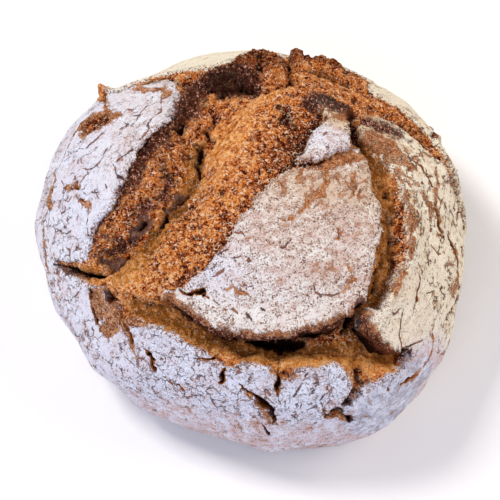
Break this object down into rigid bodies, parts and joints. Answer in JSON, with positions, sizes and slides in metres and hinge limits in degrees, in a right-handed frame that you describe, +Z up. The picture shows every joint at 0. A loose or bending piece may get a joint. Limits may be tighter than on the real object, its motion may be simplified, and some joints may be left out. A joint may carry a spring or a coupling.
{
  "type": "rye bread loaf",
  "caption": "Round free-baked rye bread loaf with a flat base, floured crust plates and deep torn cracks across its domed top.",
  "frame": {"origin": "middle of the flat base, on the surface the loaf stands on", "axes": "+Z up, -Y the front of the loaf with the long front crack, +X to the right seen from the front"},
  "size_m": [0.221, 0.2198, 0.098],
  "materials": {
    "crust": "matt brown rye crust dusted with flour, orange-brown and grainy where it tore open"
  },
  "bodies": {
    "root": {"loaf": "crust"}
  },
  "joints": []
}
